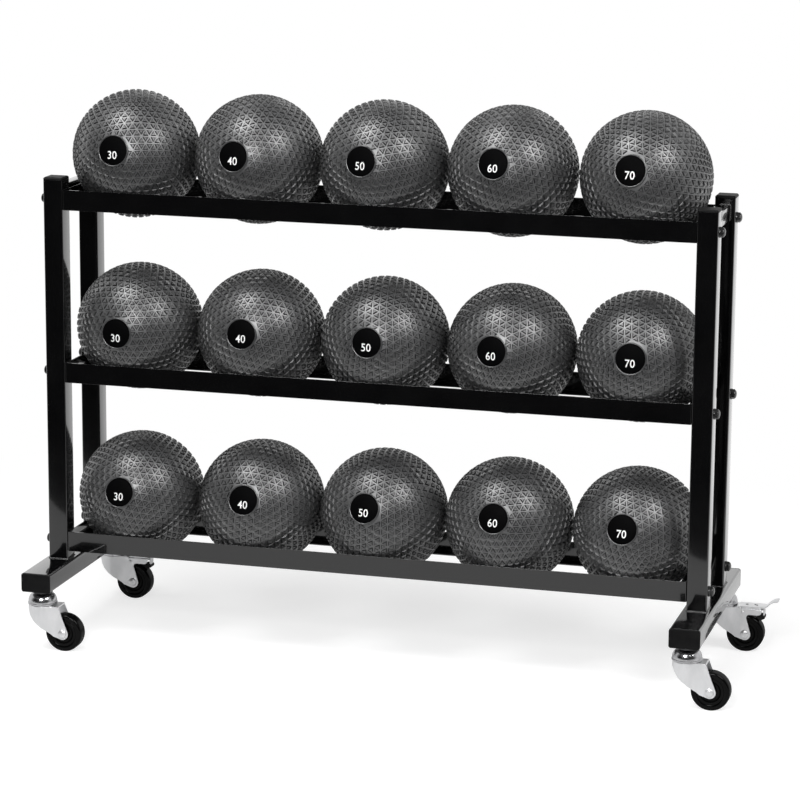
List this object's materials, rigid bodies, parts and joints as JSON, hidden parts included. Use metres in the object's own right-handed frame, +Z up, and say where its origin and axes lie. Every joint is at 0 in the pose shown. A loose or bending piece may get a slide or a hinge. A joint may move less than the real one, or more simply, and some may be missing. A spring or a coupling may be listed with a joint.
{
  "type": "ball cart",
  "caption": "Black steel rolling rack on swivel casters, the rear ones with foot brakes, carrying studded rubber training balls on open angle-bar trays in tiers.",
  "frame": {"origin": "on the floor under the middle of the overall box", "axes": "+X along the cart to the right as seen from the front, +Y from front to back, +Z up"},
  "size_m": [1.4448, 0.4676, 1.103],
  "materials": {
    "frame_paint": "gloss black powder coat",
    "cap_plastic": "satin moulded plastic",
    "race_chrome": "bright plated",
    "fork_zinc": "zinc plated, satin",
    "collar_steel": "dark oxide",
    "wheel_rubber": "satin",
    "shoe_rubber": "matte",
    "ball_rubber": "satin studded rubber"
  },
  "bodies": {
    "frame": {"caster_race_left_front": "race_chrome", "caster_race_left_rear": "race_chrome", "caster_race_right_front": "race_chrome", "caster_race_right_rear": "race_chrome", "caster_stem_left_front": "collar_steel", "caster_stem_left_rear": "collar_steel", "caster_stem_right_front": "collar_steel", "caster_stem_right_rear": "collar_steel", "cross_tube_left": "frame_paint", "cross_tube_right": "frame_paint", "foot_cap_left_front": "cap_plastic", "foot_cap_left_rear": "cap_plastic", "foot_cap_right_front": "cap_plastic", "foot_cap_right_rear": "cap_plastic", "foot_left": "frame_paint", "foot_right": "frame_paint", "post_cap_left_front": "cap_plastic", "post_cap_left_rear": "cap_plastic", "post_cap_right_front": "cap_plastic", "post_cap_right_rear": "cap_plastic", "post_left_front": "frame_paint", "post_left_rear": "frame_paint", "post_right_front": "frame_paint", "post_right_rear": "frame_paint", "tray_bottom": "frame_paint", "tray_middle": "frame_paint", "tray_top": "frame_paint"},
    "caster_left_front": {"caster_fork_left_front": "fork_zinc", "caster_axle_left_front": "fork_zinc"},
    "wheel_left_front": {"caster_wheel_left_front": "wheel_rubber"},
    "caster_left_rear": {"caster_fork_left_rear": "fork_zinc", "caster_axle_left_rear": "fork_zinc"},
    "wheel_left_rear": {"caster_wheel_left_rear": "wheel_rubber"},
    "brake_left_rear": {"brake_lever_left_rear": "fork_zinc", "brake_shoe_left_rear": "shoe_rubber"},
    "caster_right_front": {"caster_fork_right_front": "fork_zinc", "caster_axle_right_front": "fork_zinc"},
    "wheel_right_front": {"caster_wheel_right_front": "wheel_rubber"},
    "caster_right_rear": {"caster_fork_right_rear": "fork_zinc", "caster_axle_right_rear": "fork_zinc"},
    "wheel_right_rear": {"caster_wheel_right_rear": "wheel_rubber"},
    "brake_right_rear": {"brake_lever_right_rear": "fork_zinc", "brake_shoe_right_rear": "shoe_rubber"},
    "ball_bottom_1_body": {"ball_bottom_1": "ball_rubber"},
    "ball_bottom_2_body": {"ball_bottom_2": "ball_rubber"},
    "ball_bottom_3_body": {"ball_bottom_3": "ball_rubber"},
    "ball_bottom_4_body": {"ball_bottom_4": "ball_rubber"},
    "ball_bottom_5_body": {"ball_bottom_5": "ball_rubber"},
    "ball_middle_1_body": {"ball_middle_1": "ball_rubber"},
    "ball_middle_2_body": {"ball_middle_2": "ball_rubber"},
    "ball_middle_3_body": {"ball_middle_3": "ball_rubber"},
    "ball_middle_4_body": {"ball_middle_4": "ball_rubber"},
    "ball_middle_5_body": {"ball_middle_5": "ball_rubber"},
    "ball_top_1_body": {"ball_top_1": "ball_rubber"},
    "ball_top_2_body": {"ball_top_2": "ball_rubber"},
    "ball_top_3_body": {"ball_top_3": "ball_rubber"},
    "ball_top_4_body": {"ball_top_4": "ball_rubber"},
    "ball_top_5_body": {"ball_top_5": "ball_rubber"}
  },
  "joints": [
    {"name": "swivel_left_front", "type": "hinge", "parent": "frame", "child": "caster_left_front", "pos_m": [-0.69137, -0.19575, 0.0925], "axis": [0, 0, 1], "continuous": true},
    {"name": "wheel_spin_left_front", "type": "hinge", "parent": "caster_left_front", "child": "wheel_left_front", "pos_m": [-0.64387, -0.19575, 0.0375], "axis": [0, 1, 0], "continuous": true},
    {"name": "swivel_left_rear", "type": "hinge", "parent": "frame", "child": "caster_left_rear", "pos_m": [-0.69137, 0.20425, 0.0925], "axis": [0, 0, 1], "continuous": true},
    {"name": "wheel_spin_left_rear", "type": "hinge", "parent": "caster_left_rear", "child": "wheel_left_rear", "pos_m": [-0.64387, 0.20425, 0.0375], "axis": [0, 1, 0], "continuous": true},
    {"name": "brake_press_left_rear", "type": "hinge", "parent": "caster_left_rear", "child": "brake_left_rear", "pos_m": [-0.64887, 0.20425, 0.0825], "axis": [0, 1, 0], "range_deg": [0, 4.5]},
    {"name": "swivel_right_front", "type": "hinge", "parent": "frame", "child": "caster_right_front", "pos_m": [0.61037, -0.19575, 0.0925], "axis": [0, 0, 1], "continuous": true},
    {"name": "wheel_spin_right_front", "type": "hinge", "parent": "caster_right_front", "child": "wheel_right_front", "pos_m": [0.65787, -0.19575, 0.0375], "axis": [0, 1, 0], "continuous": true},
    {"name": "swivel_right_rear", "type": "hinge", "parent": "frame", "child": "caster_right_rear", "pos_m": [0.61037, 0.20425, 0.0925], "axis": [0, 0, 1], "continuous": true},
    {"name": "wheel_spin_right_rear", "type": "hinge", "parent": "caster_right_rear", "child": "wheel_right_rear", "pos_m": [0.65787, 0.20425, 0.0375], "axis": [0, 1, 0], "continuous": true},
    {"name": "brake_press_right_rear", "type": "hinge", "parent": "caster_right_rear", "child": "brake_right_rear", "pos_m": [0.65287, 0.20425, 0.0825], "axis": [0, 1, 0], "range_deg": [0, 4.5]},
    {"name": "lift_ball_bottom_1", "type": "slide", "parent": "frame", "child": "ball_bottom_1_body", "axis": [0, 0, 1], "range_m": [0, 0.075]},
    {"name": "lift_ball_bottom_2", "type": "slide", "parent": "frame", "child": "ball_bottom_2_body", "axis": [0, 0, 1], "range_m": [0, 0.075]},
    {"name": "lift_ball_bottom_3", "type": "slide", "parent": "frame", "child": "ball_bottom_3_body", "axis": [0, 0, 1], "range_m": [0, 0.075]},
    {"name": "lift_ball_bottom_4", "type": "slide", "parent": "frame", "child": "ball_bottom_4_body", "axis": [0, 0, 1], "range_m": [0, 0.075]},
    {"name": "lift_ball_bottom_5", "type": "slide", "parent": "frame", "child": "ball_bottom_5_body", "axis": [0, 0, 1], "range_m": [0, 0.075]},
    {"name": "lift_ball_middle_1", "type": "slide", "parent": "frame", "child": "ball_middle_1_body", "axis": [0, 0, 1], "range_m": [0, 0.075]},
    {"name": "lift_ball_middle_2", "type": "slide", "parent": "frame", "child": "ball_middle_2_body", "axis": [0, 0, 1], "range_m": [0, 0.075]},
    {"name": "lift_ball_middle_3", "type": "slide", "parent": "frame", "child": "ball_middle_3_body", "axis": [0, 0, 1], "range_m": [0, 0.075]},
    {"name": "lift_ball_middle_4", "type": "slide", "parent": "frame", "child": "ball_middle_4_body", "axis": [0, 0, 1], "range_m": [0, 0.075]},
    {"name": "lift_ball_middle_5", "type": "slide", "parent": "frame", "child": "ball_middle_5_body", "axis": [0, 0, 1], "range_m": [0, 0.075]},
    {"name": "lift_ball_top_1", "type": "slide", "parent": "frame", "child": "ball_top_1_body", "axis": [0, 0, 1], "range_m": [0, 0.25]},
    {"name": "lift_ball_top_2", "type": "slide", "parent": "frame", "child": "ball_top_2_body", "axis": [0, 0, 1], "range_m": [0, 0.25]},
    {"name": "lift_ball_top_3", "type": "slide", "parent": "frame", "child": "ball_top_3_body", "axis": [0, 0, 1], "range_m": [0, 0.25]},
    {"name": "lift_ball_top_4", "type": "slide", "parent": "frame", "child": "ball_top_4_body", "axis": [0, 0, 1], "range_m": [0, 0.25]},
    {"name": "lift_ball_top_5", "type": "slide", "parent": "frame", "child": "ball_top_5_body", "axis": [0, 0, 1], "range_m": [0, 0.25]}
  ]
}
